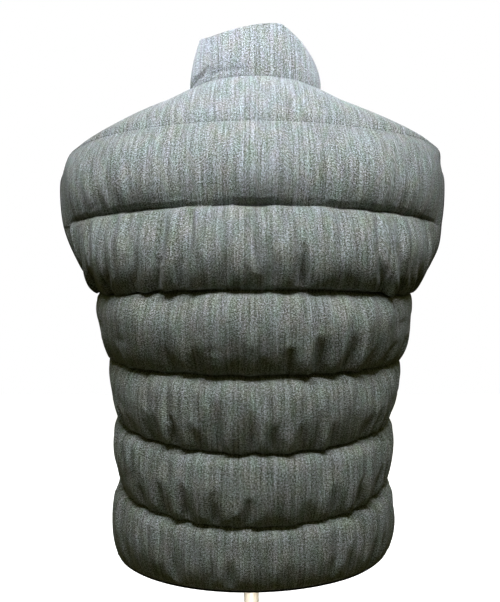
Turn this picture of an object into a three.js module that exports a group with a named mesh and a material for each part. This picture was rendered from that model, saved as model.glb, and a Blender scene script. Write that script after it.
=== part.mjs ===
// A quilted down vest worn by a limbless dress form on a pole and a round base.
// Millimetres, +Z up. The wearer would face -Y, so the back is at +Y and the wearer's left is +X.
// The origin is the middle of the base's underside.
import * as THREE from "three";

// Driving sizes.
const STAND = { baseRadius: 140, baseHeight: 18, chamfer: 3, poleRadius: 9.5, sides: 48 };
const FORM_BOTTOM = 282;
const ARM_PLATE = 204; // the form's flat shoulder ends, from its middle
const VEST_SHIFT = -4; // the vest hangs a little to one side of the pole
const SEAM_GAP = 0.3;
const WALL = 3; // shell, down-proof layer and lining where they are stitched together
const PUFF_OUT = 21; // how far a full baffle stands out of its seams
const PUFF_IN = 4.5; // and how far its lining stands in
const FULL_BAFFLE = 92; // a baffle this tall is puffed to the full
const BINDING = { radius: 1.7, seat: 2.5, sides: 6 }; // seat: its middle from the cut edge
const COLLAR = { puff: 6.5, rows: 4, gap: 0.45 };
const ZIP = { edge: 8, tapeHalf: 2.2, tapeThick: 1.2, chainHalf: 3, chainThick: 3, boxTall: 9, boxThick: 4 };
const SLIDER = { wide: 9, tall: 11, front: 3.4, slot: 1.8, postTall: 3, below: 13 };
const BRIDGE = { thick: 2.4, low: 1.5, high: 9.5, out: 8.1, wall: 1.4, reachWall: 0.9 };
const PULL = { half: 3.6, bar: 1.6, slotHalf: 1.8, slotLong: 7.5, long: 31, pivot: 6.8 };
const SIDE_COLUMNS = 12; // columns from the middle of the body to its side
const NECK_COLUMNS = 4; // of which this many end at the neck
const BAFFLE_ROWS = 4;
const UNDERARM = 4; // seams are numbered up from the hem, which is 0
const YOKE = 6;
const TOP = 7;

// Side seam, hem to underarm: v is the seam's number.
const SIDE_SEAM = [
  { v: 0, x: 171, y: 10, z: 256 },
  { v: 1, x: 166, y: 10, z: 352 },
  { v: 2, x: 169, y: 10, z: 429 },
  { v: 3, x: 181, y: 10, z: 495 },
  { v: 4, x: 194, y: 10, z: 574 },
];

// The armhole's edge from the underarm up, behind and in front.
const BACK_ARMHOLE = [
  { v: 4, x: 194, y: 10, z: 574 },
  { v: 4.12, x: 196, y: 30, z: 580 },
  { v: 4.5, x: 210, y: 52, z: 606 },
  { v: 5, x: 228, y: 57, z: 653 },
  { v: 5.5, x: 236, y: 42, z: 706 },
  { v: 6, x: 239, y: -10, z: 737 },
  { v: 7, x: 236, y: -34, z: 729 },
];
const FRONT_ARMHOLE = [
  { v: 4, x: 194, y: 10, z: 574 },
  { v: 4.12, x: 198, y: -12, z: 580 },
  { v: 4.5, x: 212, y: -46, z: 602 },
  { v: 5, x: 224, y: -62, z: 642 },
  { v: 5.5, x: 232, y: -64, z: 682 },
  { v: 6, x: 236, y: -52, z: 716 },
  { v: 7, x: 236, y: -34, z: 729 },
];

// The middle of the back and of the front, and how many degrees a line turns on its way to the edge.
const BACK_MIDDLE = [
  { v: 0, y: 122, z: 243, sweep: 90 },
  { v: 1, y: 116, z: 310, sweep: 90 },
  { v: 2, y: 114, z: 392, sweep: 90 },
  { v: 3, y: 118, z: 480, sweep: 90 },
  { v: 4, y: 128, z: 575, sweep: 90 },
  { v: 4.5, y: 130, z: 620, sweep: 76 },
  { v: 5, y: 126, z: 669, sweep: 68 },
  { v: 5.5, y: 118, z: 720, sweep: 74 },
  { v: 6, y: 104, z: 767, sweep: 90 },
];
const FRONT_MIDDLE = [
  { v: 0, y: -120, z: 252, sweep: 90 },
  { v: 1, y: -116, z: 328, sweep: 90 },
  { v: 2, y: -116, z: 410, sweep: 90 },
  { v: 3, y: -121, z: 486, sweep: 90 },
  { v: 4, y: -128, z: 574, sweep: 90 },
  { v: 5, y: -127, z: 650, sweep: 78 },
  { v: 6, y: -110, z: 724, sweep: 78 },
];
const NECK_BACK = { y: 66, z: 829 };
const NECK_FRONT = { y: -84, z: 764 };
const NECK_SIDE = new THREE.Vector3(82, -12, 824); // where the shoulder seam meets the collar
const SHOULDER_END = new THREE.Vector3(236, -34, 729);
const SHOULDER_CROWN = 9; // the cloth's rise over the shoulder between yoke line and seam

// The collar's upper edge around the neck: turn in degrees from the middle of the back, + to the wearer's left.
const COLLAR_TOP = [
  { v: -180, reachX: 60, reachY: 82, z: 834 },
  { v: -90, reachX: 77, reachY: 62, z: 856 },
  { v: -60, reachX: 70, reachY: 62, z: 875 },
  { v: -35, reachX: 66, reachY: 62, z: 893 },
  { v: 0, reachX: 66, reachY: 62, z: 890 },
  { v: 45, reachX: 68, reachY: 62, z: 884 },
  { v: 85, reachX: 68, reachY: 62, z: 893 },
  { v: 180, reachX: 60, reachY: 82, z: 834 },
];

// The dress form's level sections: half width, and how far it reaches behind and in front.
const FORM_RINGS = [
  { z: FORM_BOTTOM, half: 144, back: 98, front: 98 },
  { z: 300, half: 150, back: 103, front: 103 },
  { z: 345, half: 151, back: 103, front: 104 },
  { z: 400, half: 150, back: 102, front: 104 },
  { z: 480, half: 160, back: 106, front: 107 },
  { z: 570, half: 178, back: 115, front: 114 },
  { z: 625, half: 193, back: 117, front: 112 },
  { z: 670, half: 206, back: 113, front: 106 },
  { z: 705, half: 211, back: 107, front: 95 },
  { z: 729, half: 208, back: 101, front: 86 },
  { z: 748, half: 190, back: 95, front: 76 },
  { z: 769, half: 157, back: 86, front: 64 },
  { z: 788.4, half: 122, back: 75, front: 54 },
  { z: 803, half: 95, back: 64, front: 49 },
  { z: 813, half: 76, back: 56, front: 46 },
  { z: 826, half: 60, back: 50, front: 44 },
  { z: 846, half: 53, back: 46, front: 42 },
  { z: 858, half: 49, back: 43, front: 39 },
  { z: 864, half: 40, back: 35, front: 31 },
];
const FORM_SIDES = 40;
const FORM_SQUARENESS = 1;

const MATERIALS = {
  wool: { color: 0x7e8682, roughness: 0.9, metalness: 0 },
  binding: { color: 0x17181a, roughness: 0.7, metalness: 0 },
  zipTape: { color: 0x1b1c1e, roughness: 0.8, metalness: 0 },
  zipMetal: { color: 0x3a3c3e, roughness: 0.35, metalness: 1 },
  linen: { color: 0xd8cdbb, roughness: 0.85, metalness: 0 },
  wood: { color: 0xd3c3a6, roughness: 0.5, metalness: 0 },
};

const dressedForm = new THREE.Group();
const vest = new THREE.Group();
vest.position.x = VEST_SHIFT;
dressedForm.add(vest);

function addPiece(parent, name, geometry, finish) {
  const mesh = new THREE.Mesh(geometry, new THREE.MeshStandardMaterial(MATERIALS[finish]));
  mesh.name = name;
  parent.add(mesh);
  return mesh;
}

const mix = (from, to, share) => from + (to - from) * share;
const clamp = (value, low, high) => Math.min(high, Math.max(low, value));

// A smooth curve through one column of a table, with no overshoot between its rows.
function smooth(rows, column) {
  const slope = rows.slice(1).map((row, i) => (row[column] - rows[i][column]) / (row.v - rows[i].v));
  const tangent = rows.map((_, i) => {
    const before = slope[Math.max(0, i - 1)];
    const after = slope[Math.min(slope.length - 1, i)];
    return before * after <= 0 ? 0 : (2 * before * after) / (before + after);
  });
  return (v) => {
    let i = 0;
    while (i < slope.length - 1 && v > rows[i + 1].v) i += 1;
    const span = rows[i + 1].v - rows[i].v;
    const s = (v - rows[i].v) / span;
    const rise = s * s * (3 - 2 * s);
    return (
      mix(rows[i][column], rows[i + 1][column], rise) +
      span * s * (1 - s) * ((1 - s) * tangent[i] - s * tangent[i + 1])
    );
  };
}

function columns(rows, names) {
  return Object.fromEntries(names.map((name) => [name, smooth(rows, name)]));
}

const sideSeam = columns(SIDE_SEAM, ["x", "y", "z"]);

function panelShape(middleRows, armholeRows, neck, start) {
  return {
    middle: columns(middleRows, ["y", "z", "sweep"]),
    armhole: columns(armholeRows, ["x", "y", "z"]),
    neck,
    start,
  };
}

const BACK = panelShape(BACK_MIDDLE, BACK_ARMHOLE, NECK_BACK, 0);
const FRONT = panelShape(FRONT_MIDDLE, FRONT_ARMHOLE, NECK_FRONT, ZIP.edge);
const NECK_SHARE = NECK_COLUMNS / SIDE_COLUMNS;

// A point of the seam layer up to the yoke line; across is 0 in the middle and 1 at the side.
function bodyPoint(shape, v, across) {
  const edge = v <= UNDERARM ? sideSeam : shape.armhole;
  const sweep = THREE.MathUtils.degToRad(shape.middle.sweep(v));
  const reach = Math.sin(across * sweep) / Math.sin(sweep);
  const turn = (1 - Math.cos(across * sweep)) / (1 - Math.cos(sweep));
  return new THREE.Vector3(
    mix(shape.start, edge.x(v), reach),
    mix(shape.middle.y(v), edge.y(v), turn),
    mix(shape.middle.z(v), edge.z(v), turn),
  );
}

// The panel's top edge: round the neck, then along the shoulder seam.
function topPoint(shape, across) {
  if (across > NECK_SHARE) {
    return NECK_SIDE.clone().lerp(SHOULDER_END, (across - NECK_SHARE) / (1 - NECK_SHARE));
  }
  const turn = ((across / NECK_SHARE) * Math.PI) / 2;
  return new THREE.Vector3(
    mix(shape.start, NECK_SIDE.x, Math.sin(turn)),
    mix(NECK_SIDE.y, shape.neck.y, Math.cos(turn)),
    mix(NECK_SIDE.z, shape.neck.z, Math.cos(turn)),
  );
}

function seamLayer(shape, v, across) {
  if (v <= YOKE) return bodyPoint(shape, v, across);
  const share = (v - YOKE) / (TOP - YOKE);
  const point = bodyPoint(shape, YOKE, across).lerp(topPoint(shape, across), share);
  point.z += SHOULDER_CROWN * Math.sin(Math.PI * share) * Math.sin(Math.PI * across);
  return point;
}

// The way the layers are stacked on the neck line and the shoulder seam, the same for all the
// pieces that meet there.
function topStack(facing, across) {
  const turn = (Math.min(1, across / NECK_SHARE) * Math.PI) / 2;
  const flat = mix(0.52, 0.8, Math.cos(turn));
  return new THREE.Vector3(flat * Math.sin(turn), facing * flat * Math.cos(turn), 0.85).normalize();
}

function outward(shape, facing, v, across) {
  if (v >= TOP) return topStack(facing, across);
  if (across >= 1 && v <= UNDERARM) return new THREE.Vector3(1, 0, 0);
  const step = 0.01;
  const low = Math.max(0, v - step);
  const high = Math.min(TOP, v + step);
  const near = Math.max(0, across - step);
  const far = Math.min(1, across + step);
  const up = seamLayer(shape, high, across).sub(seamLayer(shape, low, across));
  const along = seamLayer(shape, v, far).sub(seamLayer(shape, v, near));
  return along.cross(up).multiplyScalar(-facing).normalize();
}

function baffleHeight(shape, v, across) {
  const below = Math.min(TOP - 1, Math.floor(v));
  return seamLayer(shape, below, across).distanceTo(seamLayer(shape, below + 1, across));
}

// How full the down is, 0 on the stitching to 1 in the middle of a baffle.
function fullness(shape, v, across) {
  const inBaffle = v - Math.floor(v);
  const toSide = Math.min(1, (1 - across) / 0.36);
  const toZip = shape.start > 0 ? Math.min(1, across / 0.14) : 1;
  const tall = clamp(baffleHeight(shape, v, across) / FULL_BAFFLE, 0.2, 1.05);
  return Math.pow(Math.sin(Math.PI * inBaffle), 0.7) * Math.pow(toSide * toZip, 0.7) * tall;
}

// Places along a row, seen from outside from left to right: 0 is the middle, 1 the side edge.
const outwards = Array.from({ length: SIDE_COLUMNS + 1 }, (_, i) => i / SIDE_COLUMNS);
const inwards = outwards.slice().reverse();
const placesOn = (side, shares) => shares.map((across) => ({ side, across }));

// Rows of cells, from the hem up: a point of the seam layer, the way out of the cloth, and how far
// the shell and the lining lie from the seam layer.
function panelCells(shape, facing, places) {
  return Array.from({ length: TOP * BAFFLE_ROWS + 1 }, (_, row) => {
    const v = row / BAFFLE_ROWS;
    return places.map(({ side, across }) => {
      const middle = seamLayer(shape, v, across);
      const away = outward(shape, facing, v, across);
      const full = fullness(shape, v, across);
      middle.x *= side;
      away.x *= side;
      return { middle, away, out: WALL / 2 + PUFF_OUT * full, in: WALL / 2 + PUFF_IN * full };
    });
  });
}

// Draws one edge of the cells back from its seam by half the seam gap.
function drawBack(edge, neighbours) {
  edge.forEach((cell, i) => {
    cell.middle.add(neighbours[i].middle.clone().sub(cell.middle).setLength(SEAM_GAP / 2));
  });
}

function trimSeams(cells, sideEdges) {
  const belowArm = cells.slice(0, UNDERARM * BAFFLE_ROWS + 1);
  sideEdges.forEach(([edge, next]) => {
    drawBack(belowArm.map((row) => row.at(edge)), belowArm.map((row) => row.at(next)));
  });
  drawBack(cells.at(-1), cells.at(-2));
}

// Geometry of a closed solid, with its faces turned outwards.
function closedGeometry(points, index) {
  const volume = new THREE.Vector3();
  let enclosed = 0;
  for (let i = 0; i < index.length; i += 3) {
    const [a, b, c] = [points[index[i]], points[index[i + 1]], points[index[i + 2]]];
    enclosed += volume.crossVectors(a, b).dot(c);
  }
  if (enclosed < 0) index.reverse();
  const geometry = new THREE.BufferGeometry().setFromPoints(points);
  geometry.setIndex(index);
  geometry.computeVertexNormals();
  return geometry;
}

// A closed wall between the shell side and the lining side of the cells.
function wallGeometry(cells) {
  const height = cells.length;
  const width = cells[0].length;
  const flat = cells.flat();
  const shell = flat.map((cell) => cell.middle.clone().addScaledVector(cell.away, cell.out));
  const lining = flat.map((cell) => cell.middle.clone().addScaledVector(cell.away, -cell.in));
  const index = [];
  const quad = (a, b, c, d) => index.push(a, b, c, a, c, d);
  const outer = (row, column) => row * width + column;
  const inner = (row, column) => height * width + row * width + column;
  for (let r = 0; r < height - 1; r += 1) {
    for (let c = 0; c < width - 1; c += 1) {
      quad(outer(r, c), outer(r, c + 1), outer(r + 1, c + 1), outer(r + 1, c));
      quad(inner(r, c), inner(r + 1, c), inner(r + 1, c + 1), inner(r, c + 1));
    }
    const end = width - 1;
    quad(inner(r, 0), outer(r, 0), outer(r + 1, 0), inner(r + 1, 0));
    quad(outer(r, end), inner(r, end), inner(r + 1, end), outer(r + 1, end));
  }
  const lid = height - 1;
  for (let c = 0; c < width - 1; c += 1) {
    quad(inner(0, c), inner(0, c + 1), outer(0, c + 1), outer(0, c));
    quad(outer(lid, c), outer(lid, c + 1), inner(lid, c + 1), inner(lid, c));
  }
  return closedGeometry([...shell, ...lining], index);
}

// A solid with the given section, swept through frames { at, side, up }.
function sweptGeometry(frames, section, closed) {
  const count = section.length;
  const points = frames.flatMap(({ at, side, up }) =>
    section.map(([s, u]) => at.clone().addScaledVector(side, s).addScaledVector(up, u)),
  );
  const index = [];
  const spans = closed ? frames.length : frames.length - 1;
  for (let f = 0; f < spans; f += 1) {
    const here = f * count;
    const there = ((f + 1) % frames.length) * count;
    for (let k = 0; k < count; k += 1) {
      const l = (k + 1) % count;
      index.push(here + k, here + l, there + l, here + k, there + l, there + k);
    }
  }
  const last = (frames.length - 1) * count;
  for (let k = 1; k < count - 1 && !closed; k += 1) {
    index.push(0, k + 1, k, last, last + k, last + k + 1);
  }
  return closedGeometry(points, index);
}

function roundSection({ radius, sides }) {
  return Array.from({ length: sides }, (_, k) => {
    const turn = (2 * Math.PI * (k + 0.5)) / sides;
    return [radius * Math.cos(turn), radius * Math.sin(turn)];
  });
}

function boxSection(halfWide, halfThick) {
  return [
    [-halfWide, -halfThick],
    [halfWide, -halfThick],
    [halfWide, halfThick],
    [-halfWide, halfThick],
  ];
}

// Frames for a binding that lies just past a row of edge cells, on the side that `towards` gives.
function bindingFrames(cells, closed, towards) {
  const last = cells.length - 1;
  return cells.map((cell, i) => {
    const before = closed ? cells.at(i - 1) : cells[Math.max(0, i - 1)];
    const after = closed ? cells[(i + 1) % cells.length] : cells[Math.min(last, i + 1)];
    const along = after.middle.clone().sub(before.middle).normalize();
    const side = along.clone().cross(cell.away).normalize();
    if (side.dot(towards(cell)) < 0) side.negate();
    const up = along.clone().cross(side).normalize();
    if (up.dot(cell.away) < 0) up.negate();
    return { at: cell.middle.clone().addScaledVector(side, BINDING.seat), side, up };
  });
}

// Back and fronts.
const backPlaces = [...placesOn(1, inwards), ...placesOn(-1, outwards.slice(1))];
const backCells = panelCells(BACK, 1, backPlaces);
const leftCells = panelCells(FRONT, -1, placesOn(1, outwards));
const rightCells = panelCells(FRONT, -1, placesOn(-1, inwards));
trimSeams(backCells, [[0, 1], [-1, -2]]);
trimSeams(leftCells, [[-1, -2]]);
trimSeams(rightCells, [[0, 1]]);
addPiece(vest, "back", wallGeometry(backCells), "wool");
addPiece(vest, "front_left", wallGeometry(leftCells), "wool");
addPiece(vest, "front_right", wallGeometry(rightCells), "wool");

// Collar: one padded band on the neck line, from zip to zip.
function collarCells() {
  const top = columns(COLLAR_TOP, ["reachX", "reachY", "z"]);
  const neckStart = SIDE_COLUMNS - NECK_COLUMNS;
  const neckLine = [
    ...leftCells.at(-1).slice(0, NECK_COLUMNS + 1),
    ...backCells.at(-1).slice(neckStart + 1, SIDE_COLUMNS + NECK_COLUMNS),
    ...rightCells.at(-1).slice(neckStart),
  ];
  const last = neckLine.length - 1;
  return Array.from({ length: COLLAR.rows + 1 }, (_, row) => {
    const share = row / COLLAR.rows;
    return neckLine.map((cell, i) => {
      const atZip = i === 0 || i === last;
      const degrees = mix(180, -180, i / last);
      const turn = THREE.MathUtils.degToRad(degrees);
      const upper = new THREE.Vector3(Math.sin(turn), Math.cos(turn), 0);
      const away = atZip ? new THREE.Vector3(0, -1, 0) : upper.clone();
      upper.multiply(new THREE.Vector3(top.reachX(degrees), top.reachY(degrees), 0));
      upper.z = top.z(degrees);
      if (atZip) upper.x = cell.middle.x;
      away.lerp(cell.away, Math.max(0, 1 - 2 * share)).normalize();
      const toZip = Math.min(1, Math.min(i, last - i) / 2);
      const full = Math.pow(Math.sin(0.93 * Math.PI * share), 0.7) * toZip;
      const middle = cell.middle.clone();
      middle.z += COLLAR.gap;
      middle.lerp(upper, share);
      const half = WALL / 2 + COLLAR.puff * full;
      return { middle, away, out: half, in: half };
    });
  });
}

const collar = collarCells();
addPiece(vest, "collar", wallGeometry(collar), "wool");

// Bindings: a ring round each armhole and one strip along the hem.
function armholeBinding(name, backEdge, frontCells, frontEdge) {
  const first = UNDERARM * BAFFLE_ROWS;
  const behind = backCells.slice(first).map((row) => row.at(backEdge));
  const before = frontCells.slice(first + 1, -1).map((row) => row.at(frontEdge));
  const ring = [...behind, ...before.reverse()];
  const middle = new THREE.Vector3();
  ring.forEach((cell) => middle.addScaledVector(cell.middle, 1 / ring.length));
  const frames = bindingFrames(ring, true, (cell) => middle.clone().sub(cell.middle));
  addPiece(vest, name, sweptGeometry(frames, roundSection(BINDING), true), "binding");
}

armholeBinding("armhole_binding_left", 0, leftCells, -1);
armholeBinding("armhole_binding_right", -1, rightCells, 0);

const hemCells = [...leftCells[0].slice(0, -1), ...backCells[0], ...rightCells[0].slice(1)];
const hemFrames = bindingFrames(hemCells, false, () => new THREE.Vector3(0, 0, -1));
addPiece(vest, "hem_binding", sweptGeometry(hemFrames, roundSection(BINDING), false), "binding");

// Zip: two tapes and the closed teeth on the front edges' line, with the slider at the top.
const zipLine = [...leftCells.map((row) => row[0]), ...collar.slice(1).map((row) => row[0])].map(
  ({ middle }) => new THREE.Vector3(0, middle.y, middle.z),
);
const zipCurve = new THREE.CatmullRomCurve3(zipLine, false, "centripetal");
const zipLength = zipCurve.getLength();

// Frames on the zip's line between two distances from its lower end.
function zipFrames(from, to, offset) {
  const spans = Math.max(1, Math.round((to - from) / 18));
  return Array.from({ length: spans + 1 }, (_, i) => {
    const place = clamp(mix(from, to, i / spans) / zipLength, 0, 1);
    const along = zipCurve.getTangentAt(place);
    const at = zipCurve.getPointAt(place);
    at.x = offset;
    return { at, side: new THREE.Vector3(1, 0, 0), up: new THREE.Vector3(0, -along.z, along.y) };
  });
}

const sliderAt = zipLength - SLIDER.below;
const teethTop = sliderAt + SLIDER.tall - SLIDER.postTall - SEAM_GAP;
const tape = boxSection(ZIP.tapeHalf, ZIP.tapeThick / 2);
const tapeMiddle = ZIP.edge - SEAM_GAP - ZIP.tapeHalf;
[["left", 1], ["right", -1]].forEach(([hand, side]) => {
  const frames = zipFrames(0, teethTop, side * tapeMiddle);
  addPiece(vest, `zip_tape_${hand}`, sweptGeometry(frames, tape, false), "zipTape");
});
const teethFrames = zipFrames(ZIP.boxTall + SEAM_GAP, teethTop, 0);
const teeth = boxSection(ZIP.chainHalf, ZIP.chainThick / 2);
addPiece(vest, "zip_teeth", sweptGeometry(teethFrames, teeth, false), "zipMetal");
const foot = boxSection(ZIP.chainHalf, ZIP.boxThick / 2);
addPiece(vest, "zip_box", sweptGeometry(zipFrames(0, ZIP.boxTall, 0), foot, false), "zipMetal");

// The slider's own frame: forward is -Y, and z = 0 is its lower end.
const slider = new THREE.Group();
const sliderFrame = zipFrames(sliderAt, sliderAt + 1, 0)[0];
slider.position.copy(sliderFrame.at);
slider.rotation.x = Math.atan2(-sliderFrame.up.z, -sliderFrame.up.y);
vest.add(slider);

// An outline in the slider's Y and Z, as thick as given along X.
function sideCut(outline, thick, hole) {
  const shape = new THREE.Shape(outline.map(([y, z]) => new THREE.Vector2(y, z)));
  if (hole) shape.holes.push(new THREE.Path(hole.map(([y, z]) => new THREE.Vector2(y, z))));
  const geometry = new THREE.ExtrudeGeometry(shape, { depth: thick, bevelEnabled: false });
  geometry.translate(0, 0, -thick / 2);
  const [x, y, z] = [0, 1, 2].map((axis) => new THREE.Vector3().setComponent(axis, 1));
  return geometry.applyMatrix4(new THREE.Matrix4().makeBasis(y, z, x));
}

const box = (y0, z0, y1, z1) => [[y0, z0], [y1, z0], [y1, z1], [y0, z1]];
const post = SLIDER.tall - SLIDER.postTall;
const sliderOutline = [
  [-SLIDER.front, 0],
  [-SLIDER.slot, 0],
  [-SLIDER.slot, post],
  [SLIDER.slot, post],
  [SLIDER.slot, 0],
  [SLIDER.front, 0],
  [SLIDER.front, SLIDER.tall],
  [-SLIDER.front, SLIDER.tall],
];
addPiece(slider, "zip_slider", sideCut(sliderOutline, SLIDER.wide), "zipMetal");
const bridgeBack = -SLIDER.front - SEAM_GAP;
const bridgeOutline = box(-BRIDGE.out, BRIDGE.low, bridgeBack, BRIDGE.high);
const bridgeEye = box(
  -BRIDGE.out + BRIDGE.reachWall,
  BRIDGE.low + BRIDGE.wall,
  bridgeBack - BRIDGE.reachWall,
  BRIDGE.high - BRIDGE.wall,
);
addPiece(slider, "zip_bridge", sideCut(bridgeOutline, BRIDGE.thick, bridgeEye), "zipMetal");

// The pull tab hangs on its upper bar, which turns inside the bridge.
function pullGeometry() {
  const top = PULL.bar / 2;
  const low = top - PULL.long + PULL.half;
  const shape = new THREE.Shape();
  shape.moveTo(-PULL.half, top);
  shape.lineTo(-PULL.half, low);
  shape.absarc(0, low, PULL.half, Math.PI, 2 * Math.PI, false);
  shape.lineTo(PULL.half, top);
  shape.closePath();
  const slotTop = -top;
  const eye = box(-PULL.slotHalf, slotTop - PULL.slotLong, PULL.slotHalf, slotTop);
  shape.holes.push(new THREE.Path(eye.map(([x, z]) => new THREE.Vector2(x, z))));
  const geometry = new THREE.ExtrudeGeometry(shape, { depth: PULL.bar, bevelEnabled: false, curveSegments: 8 });
  geometry.translate(0, 0, -PULL.bar / 2);
  return geometry.rotateX(Math.PI / 2);
}

const pull = addPiece(slider, "zip_pull", pullGeometry(), "zipMetal");
pull.position.set(0, (bridgeBack - BRIDGE.out) / 2, PULL.pivot);

// The dress form: level rings from its lower edge to the top of its neck.
function formGeometry() {
  const round = (value) => Math.sign(value) * Math.pow(Math.abs(value), FORM_SQUARENESS);
  const points = FORM_RINGS.flatMap(({ z, half, back, front }) =>
    Array.from({ length: FORM_SIDES }, (_, k) => {
      const turn = (2 * Math.PI * k) / FORM_SIDES;
      const x = clamp(half * round(Math.sin(turn)), -ARM_PLATE, ARM_PLATE);
      const y = round(Math.cos(turn)) * (Math.cos(turn) > 0 ? back : front);
      return new THREE.Vector3(x, y, z);
    }),
  );
  const index = [];
  for (let r = 0; r < FORM_RINGS.length - 1; r += 1) {
    for (let k = 0; k < FORM_SIDES; k += 1) {
      const l = (k + 1) % FORM_SIDES;
      const [here, above] = [r * FORM_SIDES, (r + 1) * FORM_SIDES];
      index.push(here + k, here + l, above + l, here + k, above + l, above + k);
    }
  }
  const neck = (FORM_RINGS.length - 1) * FORM_SIDES;
  for (let k = 1; k < FORM_SIDES - 1; k += 1) {
    index.push(0, k + 1, k, neck, neck + k, neck + k + 1);
  }
  return closedGeometry(points, index);
}

addPiece(dressedForm, "dress_form", formGeometry(), "linen");

const poleHeight = FORM_BOTTOM - STAND.baseHeight - 2 * SEAM_GAP;
const pole = new THREE.CylinderGeometry(STAND.poleRadius, STAND.poleRadius, poleHeight, STAND.sides / 2);
pole.rotateX(Math.PI / 2);
pole.translate(0, 0, STAND.baseHeight + SEAM_GAP + poleHeight / 2);
addPiece(dressedForm, "stand_pole", pole, "wood");

const baseProfile = [
  [0, 0],
  [STAND.baseRadius, 0],
  [STAND.baseRadius, STAND.baseHeight - STAND.chamfer],
  [STAND.baseRadius - STAND.chamfer, STAND.baseHeight],
  [0, STAND.baseHeight],
].map(([x, y]) => new THREE.Vector2(x, y));
const base = new THREE.LatheGeometry(baseProfile, STAND.sides).rotateX(Math.PI / 2);
addPiece(dressedForm, "stand_base", base, "wood");

export default dressedForm;
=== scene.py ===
# A quilted down vest on a dress form: its cloth, trims, stand, lights and camera. Metres, +Z up.
import math

import bmesh
import bpy
import numpy as np
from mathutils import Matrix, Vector


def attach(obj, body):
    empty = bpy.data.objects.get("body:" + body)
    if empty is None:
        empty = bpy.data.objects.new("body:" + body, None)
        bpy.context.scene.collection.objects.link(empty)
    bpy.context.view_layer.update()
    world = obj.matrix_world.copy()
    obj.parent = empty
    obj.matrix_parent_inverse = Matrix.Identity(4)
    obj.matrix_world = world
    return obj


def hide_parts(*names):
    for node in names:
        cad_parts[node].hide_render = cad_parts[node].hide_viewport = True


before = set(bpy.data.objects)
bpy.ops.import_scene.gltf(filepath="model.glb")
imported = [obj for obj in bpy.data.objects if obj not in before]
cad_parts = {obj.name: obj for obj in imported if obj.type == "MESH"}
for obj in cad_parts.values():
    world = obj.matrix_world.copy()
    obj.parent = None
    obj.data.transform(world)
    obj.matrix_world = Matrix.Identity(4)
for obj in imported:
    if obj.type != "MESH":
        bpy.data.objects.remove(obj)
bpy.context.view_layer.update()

MM = 0.001

# ---- camera

IMAGE_HEIGHT = 602
FOCAL_PIXELS = 684.0
SENSOR = 36.0
NEAREST = 0.05
EYE = Vector((0.0018, 0.880, 0.570))
LOOKS_DOWN = math.radians(0.5)

camera_data = bpy.data.cameras.new("camera")
camera_data.sensor_width = SENSOR
camera_data.lens = FOCAL_PIXELS / IMAGE_HEIGHT * SENSOR
camera_data.clip_start = NEAREST
camera = bpy.data.objects.new("camera", camera_data)
camera.location = EYE
camera.rotation_euler = (math.pi / 2 - LOOKS_DOWN, 0, math.pi)
bpy.context.scene.collection.objects.link(camera)
bpy.context.scene.camera = camera

# ---- shader graph in expressions


class Graph:
    """The nodes of one material, with its Principled shader."""

    def __init__(self, name, **constants):
        self.material = bpy.data.materials.new(name)
        self.material.use_nodes = True
        self.tree = self.material.node_tree
        self.shader = next(n for n in self.tree.nodes if n.type == "BSDF_PRINCIPLED")
        for socket, value in constants.items():
            self.shader.inputs[socket.replace("_", " ")].default_value = value

    def node(self, kind, settings=None, **inputs):
        """One node: its settings first, then its sockets' values or links."""
        made = self.tree.nodes.new("ShaderNode" + kind)
        for key, value in (settings or {}).items():
            setattr(made, key, value)
        for key, value in inputs.items():
            self.feed(made.inputs[key.replace("_", " ")], value)
        return made

    def feed(self, socket, value):
        if isinstance(value, Field):
            self.tree.links.new(value.socket, socket)
        elif hasattr(value, "is_linked"):
            self.tree.links.new(value, socket)
        else:
            socket.default_value = value

    def field(self, made, output=0):
        return Field(self, made.outputs[output])

    def ramp(self, factor, stops):
        """A colour ramp: stops are (position, colour)."""
        made = self.node("ValToRGB", Fac=factor)
        elements = made.color_ramp.elements
        while len(elements) < len(stops):
            elements.new(1.0)
        for element, (position, colour) in zip(elements, stops):
            element.position = position
            element.color = (*colour, 1.0)
        return self.field(made)

    def blend(self, factor, first, second, mode="MIX"):
        """Mixes two colours: a colour mix has its factor at 0, its colours at 6 and 7, its result at 2."""
        made = self.node("Mix", {"data_type": "RGBA", "blend_type": mode, "clamp_factor": True})
        self.feed(made.inputs[0], factor)
        for socket, colour in zip(made.inputs[6:8], (first, second)):
            self.feed(socket, colour if isinstance(colour, Field) else (*colour, 1.0))
        return self.field(made, 2)

    def bump(self, height, strength, distance):
        made = self.node("Bump", Height=height, Strength=strength, Distance=distance)
        self.feed(self.shader.inputs["Normal"], self.field(made))

    def stretched(self, at, scale):
        return self.field(self.node("Mapping", Vector=at, Scale=scale))

    def noise(self, at, scale, detail=2.0, roughness=0.5):
        made = self.node("TexNoise", Vector=at, Scale=scale, Detail=detail, Roughness=roughness)
        return self.field(made)


class Field:
    """A socket that can be used in sums."""

    def __init__(self, graph, socket):
        self.graph = graph
        self.socket = socket

    def math(self, operation, *others):
        made = self.graph.node("Math", {"operation": operation})
        for socket, value in zip(made.inputs, (self, *others)):
            self.graph.feed(socket, value)
        return self.graph.field(made)

    def __add__(self, other):
        return self.math("ADD", other)

    def __sub__(self, other):
        return self.math("SUBTRACT", other)

    def __mul__(self, other):
        return self.math("MULTIPLY", other)

    def __truediv__(self, other):
        return self.math("DIVIDE", other)

    def sine(self):
        return self.math("SINE")

    def fraction(self):
        return self.math("FRACT")

    def above(self, level):
        return self.math("GREATER_THAN", level)

    def size(self):
        return self.math("ABSOLUTE")

    def between(self, low, high):
        """0 at low, 1 at high, smooth in between."""
        steps = {"interpolation_type": "SMOOTHSTEP"}
        return self.graph.field(self.graph.node("MapRange", steps, Value=self, From_Min=low, From_Max=high))


# ---- the vest's cut
# Stitched lines are numbered up from the hem, which is 0. Tables are in millimetres.

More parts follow.
